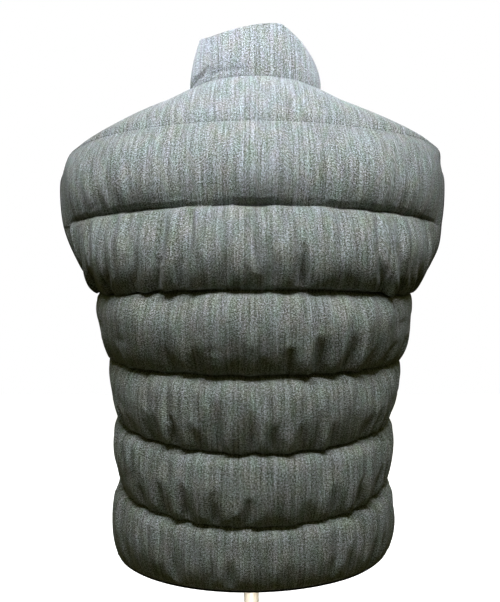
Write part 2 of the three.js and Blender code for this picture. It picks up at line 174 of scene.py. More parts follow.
UNDERARM, YOKE, TOP = 4, 6, 7
VEST_SHIFT = -4 * MM  # how far the vest sits to one side of the form
HIGH_SHOULDER = 5 * MM  # how much higher the wearer's right shoulder is
HEM_TILT = 0.02  # the hem's slope across the body
DRAWN_IN = 6 * MM  # how far the wearer's right side is drawn in, by the armhole and at the hem
WALL = 3 * MM  # both cloths together, where there is no down between them
PUFF_IN = 4.5 * MM  # how far the lining swells towards the form
FULL_BAFFLE = 92 * MM  # the height at which a baffle is as full as FILL says
SHOULDER_CROWN = 9 * MM  # how far the yoke rises between the neck and the shoulder's end
NECK_SHARE = 1 / 3  # of a panel's upper edge goes round the neck, the rest along the shoulder
ZIP_EDGE = 8 * MM  # from the middle of the zip to each front's edge

# Line, then the side seam's x, y, z.
SIDE_SEAM = (
    (0, 171, 10, 256),
    (1, 166, 10, 352),
    (2, 169, 10, 429),
    (3, 181, 10, 495),
    (4, 194, 10, 574),
)
# Line, then the armhole edge's x, y, z.
BACK_ARMHOLE = (
    (4, 194, 10, 574),
    (4.12, 196, 30, 580),
    (4.5, 210, 52, 606),
    (5, 228, 57, 653),
    (5.5, 236, 42, 706),
    (6, 239, -10, 737),
    (7, 236, -34, 729),
)
FRONT_ARMHOLE = (
    (4, 194, 10, 574),
    (4.12, 198, -12, 580),
    (4.5, 212, -46, 602),
    (5, 224, -62, 642),
    (5.5, 232, -64, 682),
    (6, 236, -52, 716),
    (7, 236, -34, 729),
)
# Line, then y and z in the middle of the body, and the degrees that the line turns to its edge.
BACK_MIDDLE = (
    (0, 122, 241.5, 90),
    (1, 116, 310, 90),
    (2, 114, 392, 90),
    (3, 118, 480, 90),
    (4, 128, 575, 90),
    (4.5, 130, 620, 76),
    (5, 126, 669, 68),
    (5.5, 118, 720, 74),
    (6, 104, 767, 90),
)
FRONT_MIDDLE = (
    (0, -120, 252, 90),
    (1, -116, 328, 90),
    (2, -116, 410, 90),
    (3, -121, 486, 90),
    (4, -128, 574, 90),
    (5, -127, 650, 78),
    (6, -110, 724, 78),
)
# The neck edge's y and z in the middle of the back, and at the zip.
BACK_NECK, FRONT_NECK = (66, 829), (-84, 764)
NECK_SIDE = np.array((82, -12, 824)) * MM
SHOULDER_END = np.array((236, -34, 729)) * MM
# How the down stands at the upper edge: out to the side, more of it behind and in front, and up.
NECK_LEAN, NECK_LEAN_MORE, NECK_STAND = 0.52, 0.28, 0.85
# Degrees round the neck from the middle of the back, then the upper edge's reach in x and y, and z.
COLLAR_TOP = (
    (-180, 60, 82, 834),
    (-90, 77, 62, 856),
    (-60, 70, 62, 875),
    (-36, 67, 62, 890),
    (-27, 66, 62, 896),
    (0, 66, 62, 892),
    (45, 71, 65, 884),
    (85, 68, 62, 893),
    (180, 60, 82, 834),
)


def unit(vectors):
    return vectors / np.linalg.norm(vectors, axis=-1, keepdims=True)


def smooth(x):
    """0 up to 0, 1 from 1, smooth in between."""
    x = np.clip(x, 0, 1)
    return x * x * (3 - 2 * x)


def through(table):
    """A smooth curve through a table's rows, with no overshoot between them."""
    rows = np.array(table, float)
    at, values = rows[:, 0], rows[:, 1:]
    slope = np.diff(values, axis=0) / np.diff(at)[:, None]
    before, after = np.vstack([slope[:1], slope]), np.vstack([slope, slope[-1:]])
    same_way = before * after > 0
    tangent = np.where(same_way, 2 * before * after / np.where(same_way, before + after, 1), 0)

    def curve(v):
        i = np.clip(np.searchsorted(at, v) - 1, 0, len(at) - 2)
        span = (at[i + 1] - at[i])[..., None]
        s = (v - at[i])[..., None] / span
        rise = s * s * (3 - 2 * s)
        line = values[i] + (values[i + 1] - values[i]) * rise
        return line + span * s * (1 - s) * ((1 - s) * tangent[i] - s * tangent[i + 1])

    return curve


class Panel:
    """One side of the body: the back, or both fronts."""

    def __init__(self, facing, middle, armhole, neck, start):
        self.facing = facing
        self.middle = through(middle)
        self.armhole = through(armhole)
        self.neck_y, self.neck_z = (size * MM for size in neck)
        self.start = start

    def body(self, v, across):
        """The seam layer up to the yoke line; across is 0 in the middle and 1 at the edge."""
        low = (v <= UNDERARM)[..., None]
        edge = np.where(low, side_seam(np.minimum(v, UNDERARM)), self.armhole(np.maximum(v, UNDERARM)))
        middle = self.middle(v)
        sweep = np.radians(middle[..., 2])
        reach = np.sin(across * sweep) / np.sin(sweep)
        turn = (1 - np.cos(across * sweep)) / (1 - np.cos(sweep))
        x = self.start + (edge[..., 0] * MM - self.start) * reach
        y = middle[..., 0] + (edge[..., 1] - middle[..., 0]) * turn
        z = middle[..., 1] + (edge[..., 2] - middle[..., 1]) * turn
        return np.stack([x, y * MM, z * MM], -1)

    def top(self, across):
        """The upper edge: round the neck, then along the shoulder seam."""
        turn = np.minimum(across / NECK_SHARE, 1) * math.pi / 2
        x = self.start + (NECK_SIDE[0] - self.start) * np.sin(turn)
        y = NECK_SIDE[1] + (self.neck_y - NECK_SIDE[1]) * np.cos(turn)
        z = NECK_SIDE[2] + (self.neck_z - NECK_SIDE[2]) * np.cos(turn)
        along = np.maximum(across - NECK_SHARE, 0)[..., None] / (1 - NECK_SHARE)
        return np.stack([x, y, z], -1) + (SHOULDER_END - NECK_SIDE) * along

    def layer(self, v, across):
        """The seam layer: where the shell and the lining are stitched together."""
        v, across = np.broadcast_arrays(np.asarray(v, float), np.asarray(across, float))
        share = np.clip((v - YOKE) / (TOP - YOKE), 0, 1)
        low = self.body(np.minimum(v, YOKE), across)
        point = low + (self.top(across) - low) * share[..., None]
        point[..., 2] += SHOULDER_CROWN * np.sin(math.pi * share) * np.sin(math.pi * across)
        return point

    def outward(self, v, across):
        """The way out of the cloth."""
        v, across = np.broadcast_arrays(np.asarray(v, float), np.asarray(across, float))
        step = 0.01
        up = self.layer(np.minimum(v + step, TOP), across) - self.layer(np.maximum(v - step, 0), across)
        along = self.layer(v, np.minimum(across + step, 1)) - self.layer(v, np.maximum(across - step, 0))
        away = np.cross(along, up) * -self.facing
        turn = np.minimum(across / NECK_SHARE, 1) * math.pi / 2
        flat = NECK_LEAN + NECK_LEAN_MORE * np.cos(turn)
        stand = np.full_like(turn, NECK_STAND)
        at_top = np.stack([flat * np.sin(turn), self.facing * flat * np.cos(turn), stand], -1)
        away = np.where((v >= TOP)[..., None], at_top, away)
        side = (across >= 1) & (v <= UNDERARM)
        away = np.where(side[..., None], np.array((1.0, 0, 0)), away)
        return unit(away)

    def height(self, v, across):
        """How tall the baffle is here."""
        below = np.clip(np.floor(v), 0, TOP - 1)
        return np.linalg.norm(self.layer(below + 1, across) - self.layer(below, across), axis=-1)


side_seam = through(SIDE_SEAM)
BACK = Panel(1, BACK_MIDDLE, BACK_ARMHOLE, BACK_NECK, 0.0)
FRONT = Panel(-1, FRONT_MIDDLE, FRONT_ARMHOLE, FRONT_NECK, ZIP_EDGE)

# ---- finishes

HERRINGBONE = 5.8 * MM  # one column of the weave
TWILL = 2.4 * MM  # from one diagonal to the next
# How many of each there are in a metre of wool, across it and along it.
FIBRES, STREAKS, BANDS, FLECKS = (700, 560, 1), (420, 22, 1), (75, 6, 1), (110, 34, 1)
# Colour ramps: position, colour. The tints multiply the yarn's colour.
YARN = (
    (0.0, (0.03, 0.033, 0.022)),
    (0.2, (0.08, 0.087, 0.06)),
    (0.4, (0.174, 0.188, 0.154)),
    (0.6, (0.295, 0.318, 0.3)),
    (0.85, (0.5, 0.53, 0.52)),
)
FLECK_TINTS = ((0.3, (0.9, 1.02, 0.86)), (0.5, (1.0, 1.0, 0.98)), (0.7, (1.07, 0.97, 1.04)))
DYE_TINTS = ((0.36, (1.1, 1.0, 0.8)), (0.5, (1.0, 1.0, 1.0)), (0.64, (0.86, 1.0, 1.04)))
WORN = (0.25, 0.26, 0.25)


def wool_finish():
    """Brushed herringbone wool: columns of diagonals that turn about, in a grey-green mixture."""
    g = Graph("wool", Roughness=0.92, Sheen_Weight=0.1, Sheen_Roughness=0.5, Specular_IOR_Level=0.15)
    place = g.field(g.node("UVMap", {"uv_map": "cut"}))
    parts = g.node("SeparateXYZ", Vector=place)
    across, along = g.field(parts, 0), g.field(parts, 1)
    waver = g.noise(place, 45.0, 2.0)
    column = across / HERRINGBONE + (waver - 0.5) * 0.35
    turned = (column * 0.5).fraction().above(0.5)
    climb = across * (turned * 2 - 1)
    diagonal = ((along + climb) * (2 * math.pi / TWILL)).sine() * 0.5 + 0.5
    meeting = (column.fraction() - 0.5).size().between(0.32, 0.5)
    fibres = g.noise(g.stretched(place, FIBRES), 1.0, 2.0, 0.75)
    streaks = g.noise(g.stretched(place, STREAKS), 1.0, 2.0, 0.6)
    bands = g.noise(g.stretched(place, BANDS), 1.0, 2.0)
    grain = (fibres - 0.5) * 2.3
    weave = diagonal * 0.16 + grain + streaks * 0.62 + bands * 0.14 + turned * 0.05 - meeting * 0.07 - 0.08
    yarn = g.ramp(weave, YARN)
    flecks = g.noise(g.stretched(place, FLECKS), 1.0, 2.0)
    flecked = g.blend(0.7, yarn, g.ramp(flecks, FLECK_TINTS), "MULTIPLY")
    dye = g.noise(place, 38.0, 2.0, 0.6)
    mottled = g.blend(0.3, flecked, g.ramp(dye, DYE_TINTS), "MULTIPLY")
    worn = g.blend(g.noise(place, 14.0, 3.0).between(0.4, 0.75) * 0.16, mottled, WORN)
    g.feed(g.shader.inputs["Base Color"], worn)
    g.bump(diagonal * 0.5 + fibres * 0.8 - meeting * 0.6, 0.5, 0.0006)
    return g.material


def cloth_finish(name, dark, light, thread, roughness=0.85):
    """A plain woven cloth, threads both ways."""
    g = Graph(name, Roughness=roughness, Specular_IOR_Level=0.25)
    place = g.field(g.node("TexCoord"), 3)
    parts = g.node("SeparateXYZ", Vector=place)
    x, y, z = (g.field(parts, i) for i in range(3))
    turn = 2 * math.pi / thread
    weave = ((x + y) * turn).sine() * (z * turn).sine() * 0.5 + 0.5
    slub = g.noise(place, 220.0, 3.0, 0.6)
    g.feed(g.shader.inputs["Base Color"], g.ramp(weave * 0.4 + slub * 0.6, ((0.25, dark), (0.75, light))))
    g.bump(weave * 0.5 + slub * 0.5, 0.35, 0.0005)
    return g.material


def metal_finish():
    g = Graph("zip_metal", Metallic=1.0)
    place = g.field(g.node("TexCoord"), 3)
    rubbed = g.noise(place, 300.0, 3.0, 0.6)
    colour = g.ramp(rubbed, ((0.3, (0.06, 0.062, 0.066)), (0.75, (0.2, 0.2, 0.205))))
    g.feed(g.shader.inputs["Base Color"], colour)
    g.feed(g.shader.inputs["Roughness"], rubbed.between(0.2, 0.9) * 0.3 + 0.25)
    g.bump(rubbed, 0.15, 0.0002)
    return g.material


def wood_finish():
    """Pale lacquered beech: long grain with small flecks."""
    g = Graph("wood", Coat_Weight=0.25, Coat_Roughness=0.3)
    place = g.field(g.node("TexCoord"), 3)
    grain = g.noise(g.stretched(place, (60.0, 60.0, 3.0)), 3.0, 5.0, 0.65)
    flecks = g.noise(g.stretched(place, (900.0, 900.0, 60.0)), 1.0, 1.0).between(0.62, 0.75)
    lengths = ((0.3, (0.66, 0.58, 0.46)), (0.55, (0.78, 0.71, 0.6)), (0.8, (0.84, 0.78, 0.68)))
    colour = g.ramp(grain, lengths)
    g.feed(g.shader.inputs["Base Color"], g.blend(flecks * 0.25, colour, (0.5, 0.4, 0.28)))
    g.feed(g.shader.inputs["Roughness"], grain * 0.2 + 0.33)
    g.bump(grain, 0.12, 0.0004)
    return g.material


WOOL = wool_finish()
BINDING_CLOTH = cloth_finish("binding", (0.006, 0.006, 0.007), (0.02, 0.02, 0.022), 0.9 * MM)
LINING = cloth_finish("lining", (0.01, 0.011, 0.012), (0.026, 0.028, 0.03), 0.5 * MM, 0.55)
ZIP_TAPE = cloth_finish("zip_tape", (0.008, 0.008, 0.009), (0.028, 0.028, 0.03), 0.7 * MM)
THREAD = cloth_finish("thread", (0.014, 0.015, 0.014), (0.04, 0.042, 0.04), 0.3 * MM)
LINEN = cloth_finish("linen", (0.6, 0.54, 0.44), (0.8, 0.75, 0.66), 0.8 * MM)
METAL = metal_finish()
WOOD = wood_finish()

# ---- meshes


def mesh_of(name, points, faces):
    mesh = bpy.data.meshes.new(name)
    mesh.from_pydata(np.asarray(points).reshape(-1, 3).tolist(), [], [list(map(int, f)) for f in faces])
    mesh.update()
    return mesh


def add_piece(name, mesh, finish, nodes=(), body="vest"):
    """A finished piece: its mesh, finish, body and the nodes that it stands for."""
    piece = bpy.data.objects.new(name, mesh)
    bpy.context.scene.collection.objects.link(piece)
    mesh.materials.append(finish)
    mesh.polygons.foreach_set("use_smooth", [True] * len(mesh.polygons))
    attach(piece, body)
    if nodes:
        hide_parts(*nodes)
    return piece


def add_solid(name, solid, finish, nodes=()):
    """A closed piece from its points and faces, with the faces turned out."""
    mesh = mesh_of(name, *solid)
    shape = bmesh.new()
    shape.from_mesh(mesh)
    bmesh.ops.recalc_face_normals(shape, faces=shape.faces)
    shape.to_mesh(mesh)
    shape.free()
    add_piece(name, mesh, finish, nodes)


def grid_faces(rows, columns):
    """Quads of a grid, seen from outside: columns to the right, rows up."""
    index = np.arange(rows * columns).reshape(rows, columns)
    corners = (index[:-1, :-1], index[:-1, 1:], index[1:, 1:], index[1:, :-1])
    return np.stack(corners, -1).reshape(-1, 4)


def set_cut(mesh, cut):
    """Lays each point of the mesh on the flat cut."""
    layer = mesh.uv_layers.new(name="cut")
    corners = np.empty(len(mesh.loops), int)
    mesh.loops.foreach_get("vertex_index", corners)
    layer.data.foreach_set("uv", cut.reshape(-1, 2)[corners].ravel().astype(np.float32))


def ripple(rng, x, wavelength):
    """A smooth uneven wave along x, about from -1 to 1."""
    waves = [
        np.sin(2 * math.pi * (x / (wavelength * rng.uniform(0.65, 1.6)) + rng.uniform()))
        for _ in range(5)
    ]
    return np.sum(waves, axis=0) * 0.5


def finer(grid):
    """Doubles a grid of values both ways along smooth curves."""
    for axis in (0, 1):
        values = np.moveaxis(grid, axis, 0)
        padded = np.concatenate([2 * values[:1] - values[1:2], values, 2 * values[-1:] - values[-2:-1]])
        between = (9 * (padded[1:-2] + padded[2:-1]) - padded[:-3] - padded[3:]) / 16
        out = np.empty((2 * len(values) - 1, *values.shape[1:]))
        out[::2] = values
        out[1::2] = between
        grid = np.moveaxis(out, 0, axis)
    return grid


def with_rim(cloth, edge):
    """Turns the cloth in to the given points all round its edge."""
    grid = np.pad(cloth, ((1, 1), (1, 1), (0, 0)), mode="edge")
    around = np.pad(edge, ((1, 1), (1, 1), (0, 0)), mode="edge")
    grid[[0, -1]] = around[[0, -1]]
    grid[:, [0, -1]] = around[:, [0, -1]]
    return grid


def skinned(points, closed=False):
    """A solid over rings of points; its ends are flat, or meet if it is closed."""
    count, sides = points.shape[:2]
    faces = []
    for i in range(count if closed else count - 1):
        here, there = i * sides, (i + 1) % count * sides
        for k in range(sides):
            after = (k + 1) % sides
            faces.append((here + k, here + after, there + after, there + k))
    if not closed:
        faces.append(tuple(range(sides))[::-1])
        faces.append(tuple(range((count - 1) * sides, count * sides)))
    return points.reshape(-1, 3), faces


def swept(frames, section, closed=False):
    """A solid of the given section along frames (at, side, up)."""
    at, side, up = frames
    return skinned(at[:, None] + side[:, None] * section[:, :1] + up[:, None] * section[:, 1:], closed)


def round_section(wide, high, sides):
    turn = 2 * math.pi * (np.arange(sides) + 0.5) / sides
    return np.stack([wide * np.cos(turn), high * np.sin(turn)], -1)


def joined(parts):
    """Puts several (points, faces) together as one."""
    points, faces, start = [], [], 0
    for own_points, own_faces in parts:
        points.append(np.asarray(own_points))
        faces.extend([[start + i for i in face] for face in own_faces])
        start += len(own_points)
    return np.concatenate(points), faces


def turned(profile, sides):
    """A solid turned on a lathe from (radius, height) points, the first and last on the axis."""
    turn = 2 * math.pi * np.arange(sides) / sides
    ring = np.stack([np.cos(turn), np.sin(turn), 0 * turn], -1)
    points, faces = skinned(np.array([ring * r + np.array((0, 0, z)) for r, z in profile[1:-1]]))
    ends = np.array([(0, 0, profile[0][1]), (0, 0, profile[-1][1])])
    low, high, last = len(points), len(points) + 1, len(points) - sides
    del faces[-2:]  # the flat ends, which are fans round the axis here
    for k in range(sides):
        after = (k + 1) % sides
        faces.append((low, after, k))
        faces.append((high, last + k, last + after))
    return np.concatenate([points, ends]), faces


# ---- filling with down

LOOSE_LEVELS = 20
SETTLING_FRAMES = 16
LEAST_REACH = 0.15  # of the cap, for cloth that isn't loose


def inflate(name, points, faces, stitched, looseness, growth, pressure, cap):
    """Fills a stitched cloth with air: where it is loose it grows by growth and moves up to cap."""
    mesh = mesh_of(name, points, faces)
    cloth = bpy.data.objects.new(name, mesh)
    scene = bpy.context.scene
    scene.collection.objects.link(cloth)
    held = cloth.vertex_groups.new(name="stitched")
    held.add(np.flatnonzero(stitched.ravel()).tolist(), 1.0, "REPLACE")
    loose = cloth.vertex_groups.new(name="loose")
    levels = np.round(looseness.ravel() * LOOSE_LEVELS).astype(int)
    for level in range(1, LOOSE_LEVELS + 1):
        loose.add(np.flatnonzero(levels == level).tolist(), level / LOOSE_LEVELS, "REPLACE")
    settle = cloth.modifiers.new("settle", "CLOTH")
    s = settle.settings
    s.quality = 5
    s.mass = 0.001
    s.tension_stiffness = s.compression_stiffness = 18
    s.shear_stiffness = 6
    s.bending_stiffness = 0.08
    s.tension_damping = s.compression_damping = s.shear_damping = 5
    s.bending_damping = 0.5
    s.air_damping = 2
    s.vertex_group_mass = "stitched"
    s.vertex_group_shrink = "loose"
    s.shrink_min = 0.0
    s.shrink_max = -growth
    s.use_pressure = True
    s.uniform_pressure_force = pressure
    s.effector_weights.gravity = 0.0
    settle.collision_settings.use_collision = False
    settle.point_cache.frame_start = 1
    settle.point_cache.frame_end = SETTLING_FRAMES
    for frame_number in range(1, SETTLING_FRAMES + 1):
        scene.frame_set(frame_number)
    settled = cloth.evaluated_get(bpy.context.evaluated_depsgraph_get()).data
    out = np.empty(len(settled.vertices) * 3, np.float32)
    settled.vertices.foreach_get("co", out)
    bpy.data.objects.remove(cloth)
    bpy.data.meshes.remove(mesh)
    scene.frame_set(1)
    move = out.reshape(points.shape).astype(float) - points
    far = np.linalg.norm(move, axis=-1, keepdims=True)
    reach = cap * (LEAST_REACH + (1 - LEAST_REACH) * looseness[..., None])
    return points + move * np.minimum(1, reach / np.maximum(far, 1e-9))


# ---- quilted panels

# Rows of mesh in each baffle from the hem up, and columns from the middle to the side.
ROWS_PER_BAFFLE = (18, 22, 23, 24, 25, 25, 20)
SIDE_COLUMNS = 64
ROW_CROWDING = 0.6  # how much closer together the rows lie beside the stitching
# How full of down each baffle is, from the hem up, as in the next tables.
FILL = np.array((0.95, 1.0, 1.0, 1.06, 1.0, 0.85, 0.3))
# The share of the way up each baffle where the down is fullest.
FULLEST = np.array((0.84, 0.84, 0.76, 0.68, 0.47, 0.33, 0.46))
# How steadily each baffle falls away from there to its head: less is squarer, like a shelf.
SHELF = np.array((0.7, 0.7, 0.7, 0.7, 0.9, 1.0, 1.0))
# How strongly the foot of each baffle is gathered.
GATHERED = np.array((1.1, 1.2, 1.1, 1.1, 2.0, 0.25, 0.1))
# How far each baffle comes up at once beside the stitching at its foot, and at its head.
FOOT_LIP = np.array((0.2, 0.48, 0.54, 0.56, 0.58, 0.38, 1.0))
HEAD_LIP = np.array((0.48, 0.54, 0.56, 0.58, 0.38, 0.06, 0.0))
BULGE = 18.5 * MM  # how far a full baffle stands out
LEAST_PROUD = 0.5 * MM  # how far the shell stays outside its stitching everywhere
SAG = 0.02  # how far the cloth sinks, as a share of the baffle
CLUMPING = 0.1  # how unevenly the down lies, as a share of its fullness
FOOT_GATHERS, HEAD_GATHERS, GATHER_SWELL = 4.2, 2.6, 0.27
WAVER = 0.009  # how far the stitched lines waver, as a share of the baffle
# How much of that waver each stitched line has.
WAVERING = np.array((0, 1, 1.1, 0.9, 0.35, 0.5, 0.1, 0))
PANEL_REACH = 0.27  # metres from a panel's middle to its side, for the unevenness
# The loose cloth beside the wearer's left armhole falls in, and folds over beside that.
POCKET_DEEP, POCKET_FROM, POCKET_FADE = 5 * MM, 0.905, 0.012
POCKET_LIP, POCKET_LIP_AT, POCKET_LIP_WIDE = 3.5 * MM, 0.893, 0.014
# Line, then the fullness left at the side, and the share of the width in which it fades.
SIDE_FULLNESS = (
    (0, 0.1, 0.36),
    (2, 0.06, 0.44),
    (3, 0.0, 0.6),
    (4, 0.0, 0.52),
    (5, 0.0, 0.4),
    (5.9, 0.0, 0.36),
    (6, 0.0, 0.8),
    (7, 0.0, 0.8),
)
side_fullness = through(SIDE_FULLNESS)
SEAM_FADE, ZIP_FADE = 0.03, 0.12
LIP_RISE = 0.05  # the share of a baffle in which its lips come up


def in_baffle(v):
    """The stitching below, and the share of the way up to the next one."""
    low = np.minimum(np.floor(v), TOP - 1).astype(int)
    return low, v - low


class Unevenness:
    """How one panel's down and gathers vary along it: a row for each baffle or stitched line."""

    def __init__(self, seed, x):
        rng = np.random.default_rng(seed)

        def ripples(wavelength):
            return np.array([ripple(rng, x, wavelength * MM) for _ in range(TOP + 1)])

        self.clumps = ripples(95)
        self.gathers = ripples(26)
        self.high_gathers = ripples(22)
        self.waver = ripples(34)
        self.reach = ripples(40)
        self.tucks = ripples(15)

    def near(self, line, columns):
        """How a stitched line wavers up and down along the panel."""
        return (self.waver[line, columns] + 0.5 * self.tucks[line, columns]) * WAVERING[line]

    def stitched_line(self, low, share, columns):
        """How the cloth between two stitched lines follows them, as a share of the baffle."""
        above = self.near(np.minimum(low + 1, TOP), columns)
        return WAVER * (self.near(low, columns) * (1 - share) + above * share)


def fullness(panel, v, across):
    """How far a baffle stands out, from 0 on the stitching to about 1 where it is fullest."""
    low, share = in_baffle(v)
    left, fade = np.moveaxis(side_fullness(v), -1, 0)
    to_side = left + (1 - left) * smooth((1 - across) / fade) ** 0.8
    at_seam = np.minimum(1, (1 - across) / SEAM_FADE) ** 0.5
    to_zip = smooth(across / ZIP_FADE) ** 0.5 if panel.start > 0 else 1.0
    tall = np.clip(panel.height(v, across) / FULL_BAFFLE, 0.2, 1.05)
    under = np.sin(math.pi / 2 * np.minimum(1, share / FULLEST[low])) ** 0.9
    over = np.sin(math.pi / 2 * np.minimum(1, (1 - share) / (1 - FULLEST[low]))) ** SHELF[low]
    belly = np.where(share < FULLEST[low], under, over)
    lip = smooth(np.minimum(share, 1 - share) / LIP_RISE) ** 0.6
    lip *= FOOT_LIP[low] + (HEAD_LIP[low] - FOOT_LIP[low]) * smooth(share)
    rise = belly * (1 - 0.8 * lip) + lip
    return rise * to_side * at_seam * to_zip * tall * FILL[low]


def beyond(values, start, fade):
    """0 up to start, and 1 from fade past it; a negative fade runs down."""
    return smooth((values - start) / fade)


def hung(points):
    """Puts cut points on the form: to one side, drawn in and raised on the right, hem aslant."""
    points = np.array(points, float)
    right, z = -points[..., 0], points[..., 2].copy()
    raised = beyond(right, 0.12, 0.11) * beyond(z, 0.64, 0.1)
    by_armhole = beyond(right, 0.14, 0.09) * beyond(z, 0.62, 0.04) * beyond(z, 0.75, -0.03)
    by_hem = beyond(right, 0.1, 0.06) * beyond(z, 0.46, -0.04)
    points[..., 0] += DRAWN_IN * (by_armhole + 0.65 * by_hem)
    points[..., 2] += HIGH_SHOULDER * raised - HEM_TILT * points[..., 0] * beyond(z, 0.42, -0.16)
    points[..., 0] += VEST_SHIFT
    return points


class PanelGrid:
    """One panel's points: on the seam layer, on the shell before it is filled, and on the lining."""

    def __init__(self, panel, v, across, side, seed):
        self.lines, places = np.meshgrid(v, across, indexing="ij")
        sides = np.broadcast_to(side, places.shape)[..., None] * np.array((1, 0, 0)) + np.array((0, 1, 1))
        low, share = in_baffle(self.lines)
        columns = np.broadcast_to(np.arange(len(across)), places.shape)
        uneven = Unevenness(seed, across * np.broadcast_to(side, len(across)) * PANEL_REACH)
        full = fullness(panel, self.lines, places)
        loose = np.minimum(1, full * 1.6)
        wavered = self.lines + uneven.stitched_line(low, share, columns) * smooth((1 - places) / 0.08)
        at_foot = uneven.gathers[low, columns] * share**0.7 * (1 - share) ** 3
        at_foot *= FOOT_GATHERS * (0.7 + 0.3 * uneven.reach[low, columns])
        at_head = HEAD_GATHERS * uneven.high_gathers[low, columns] * share**3 * (1 - share)
        gathered = (at_foot + at_head) * GATHERED[low] * loose
        swell = full * (1 + CLUMPING * uneven.clumps[low, columns]) + GATHER_SWELL * gathered
        pocket = POCKET_DEEP * beyond(places, POCKET_FROM, POCKET_FADE) * beyond(places, 1, -0.02)
        pocket -= POCKET_LIP * np.exp(-(((places - POCKET_LIP_AT) / POCKET_LIP_WIDE) ** 2))
        pocket *= beyond(share, 0.4, 0.2) * beyond(share, 0.99, -0.06)
        pocket *= (low == UNDERARM) * (sides[..., 0] > 0) * (panel.facing > 0)
        self.seam = hung(panel.layer(self.lines, places) * sides)
        self.away = panel.outward(self.lines, places) * sides
        sunk = wavered - SAG * np.sin(math.pi * share**0.55) * FILL[low] * loose
        self.shell = hung(panel.layer(sunk, places) * sides)
        proud = np.maximum(WALL / 2 + BULGE * swell - pocket, LEAST_PROUD)
        self.shell += panel.outward(sunk, places) * sides * proud[..., None]
        self.lining = self.seam - self.away * (WALL / 2 + PUFF_IN * full)[..., None]
        self.stitched = np.isclose(self.lines, np.round(self.lines))
        self.stitched[:, [0, -1]] = True
        self.looseness = smooth((1 - places) / 0.4) * np.minimum(1, FILL[low] * 1.2)
        if panel.start > 0:
            self.looseness *= smooth(places / 0.2)


def cut_map(seam, shell, middle_column):
    """Where each point lies in the flat cut: across from the middle, and up from the hem."""
    steps = np.linalg.norm(np.diff(seam, axis=1), axis=-1)
    across = np.concatenate([np.zeros((len(seam), 1)), np.cumsum(steps, axis=1)], axis=1)
    across -= across[:, middle_column : middle_column + 1]
    rises = np.linalg.norm(np.diff(shell, axis=0), axis=-1)
    up = np.concatenate([np.zeros((1, shell.shape[1])), np.cumsum(rises, axis=0)])
    return np.stack([across, up], -1)


def row_places():
    """Where the rows lie, as a line's number."""
    rows = []
    for line, count in enumerate(ROWS_PER_BAFFLE):
        share = np.arange(count) / count
        rows.append(line + share - ROW_CROWDING * np.sin(2 * math.pi * share) / (2 * math.pi))
    return np.concatenate([*rows, [float(TOP)]])


def sew_panel(node, panel, across, side, middle_column, seed):
    """A panel's shell and lining."""
    cut = PanelGrid(panel, row_places(), across, side, seed)
    cloth = cut.shell, grid_faces(*cut.lines.shape), cut.stitched, cut.looseness
    cut.shell = inflate(node, *cloth, growth=0.018, pressure=40.0, cap=7 * MM)
    cut.fine_shell = finer(cut.shell)
    cut.fine_seam = finer(cut.seam)
    cut.fine_away = unit(finer(cut.away))
    grid = with_rim(cut.fine_shell, cut.fine_seam)
    mesh = mesh_of(node + "_shell", grid, grid_faces(*grid.shape[:2]))
    flat = finer(cut_map(cut.seam, cut.shell, middle_column))
    set_cut(mesh, with_rim(flat, flat))
    shell = add_piece(node + "_shell", mesh, WOOL, [node])
    grid = with_rim(cut.lining[::3, ::2], cut.seam[::3, ::2])
    mesh = mesh_of(node + "_lining", grid, grid_faces(*grid.shape[:2])[:, ::-1])
    lining = add_piece(node + "_lining", mesh, LINING)
    return cut


both_sides = np.linspace(1, -1, 2 * SIDE_COLUMNS + 1)
out_from_zip = np.linspace(0, 1, SIDE_COLUMNS + 1)
back = sew_panel("back", BACK, np.abs(both_sides), np.where(both_sides < 0, -1.0, 1.0), SIDE_COLUMNS, 3)
left = sew_panel("front_left", FRONT, out_from_zip, 1.0, 0, 5)
right = sew_panel("front_right", FRONT, out_from_zip[::-1], -1.0, SIDE_COLUMNS, 8)

# ---- collar

COLLAR_PUFF = 4.2 * MM  # how far each side of the collar swells
COLLAR_GAP = 0.45 * MM  # between the collar and the panels' neck edge
COLLAR_LEAST = 1.2 * MM  # the collar's thickness under its fold
COLLAR_ROWS, COLLAR_COLUMNS = 18, 121
ZIP_TURN, ZIP_PUFF = 18, 12  # columns from the zip, until it turns with the neck and is full
# The fold's depth, and half its width as a share of the collar's height. It starts at FOLD_START
# degrees, climbs by FOLD_CLIMB for each degree, and ends by FOLD_END.
FOLD_DEEP, FOLD_WIDE = 6 * MM, 0.04
FOLD_START, FOLD_END, FOLD_CLIMB = 88, 44, 0.0042


def neck_line():
    """The panels' neck edge from the zip round the wearer's left: seam points and ways out."""
    at_neck = round(SIDE_COLUMNS * NECK_SHARE)
    from_middle = slice(SIDE_COLUMNS - at_neck + 1, SIDE_COLUMNS + at_neck)
    to_zip = slice(SIDE_COLUMNS - at_neck, None)
    strips = ((left, slice(0, at_neck + 1)), (back, from_middle), (right, to_zip))
    seam = np.concatenate([cut.seam[-1, columns] for cut, columns in strips])
    away = np.concatenate([cut.away[-1, columns] for cut, columns in strips])
    return seam, away


def lengths_along(line):
    return np.concatenate([[0], np.cumsum(np.linalg.norm(np.diff(line, axis=0), axis=1))])


def spread(values, places, wanted):
    """The values that lie at places, read at the wanted places."""
    return np.stack([np.interp(wanted, places, values[:, i]) for i in range(values.shape[1])], -1)


